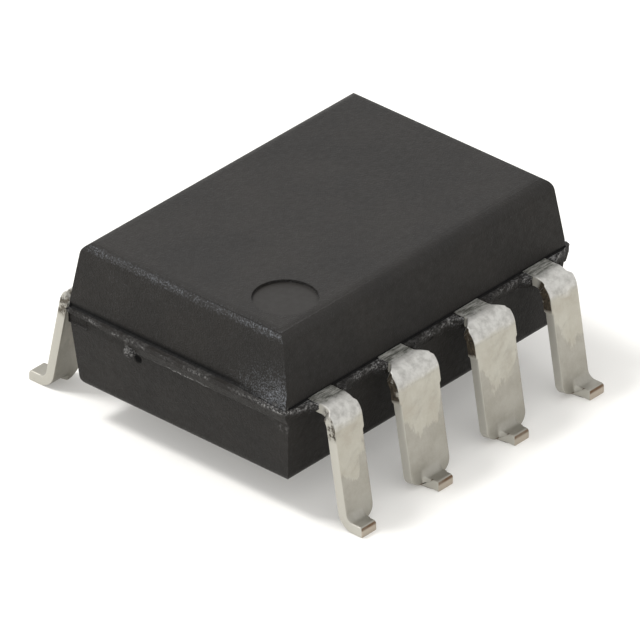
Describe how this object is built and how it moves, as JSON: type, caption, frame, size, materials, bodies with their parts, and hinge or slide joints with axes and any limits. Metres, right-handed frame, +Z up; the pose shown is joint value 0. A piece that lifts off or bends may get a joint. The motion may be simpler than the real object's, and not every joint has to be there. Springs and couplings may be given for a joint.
{
  "type": "dual-in-line semiconductor package with gull-wing leads",
  "caption": "Black moulded integrated-circuit package with wide tinned leads along its long sides, bent out into small solder feet for surface mounting.",
  "frame": {"origin": "on the board surface under the feet, at the centre of the body", "axes": "+X along the body away from the end with the dimple, +Y across it from leads 1 to 4 towards leads 5 to 8, +Z up from the board"},
  "size_m": [0.0096, 0.0099, 0.0046],
  "materials": {
    "resin": "black epoxy moulding compound, fine grain",
    "tin_plate": "dull tin over copper alloy",
    "copper_frame": "bare copper alloy",
    "silver_epoxy": "silver-filled epoxy",
    "silicon": "polished silicon",
    "bond_gold": "gold wire"
  },
  "bodies": {
    "root": {"moulded_body": "resin", "lead_1": "tin_plate", "lead_2": "tin_plate", "lead_3": "tin_plate", "lead_4": "tin_plate", "lead_5": "tin_plate", "lead_6": "tin_plate", "lead_7": "tin_plate", "lead_8": "tin_plate", "die_paddle": "copper_frame", "die_attach": "silver_epoxy", "die": "silicon", "bond_wire_1": "bond_gold", "bond_wire_2": "bond_gold", "bond_wire_3": "bond_gold", "bond_wire_4": "bond_gold", "bond_wire_5": "bond_gold", "bond_wire_6": "bond_gold", "bond_wire_7": "bond_gold", "bond_wire_8": "bond_gold"}
  },
  "joints": []
}
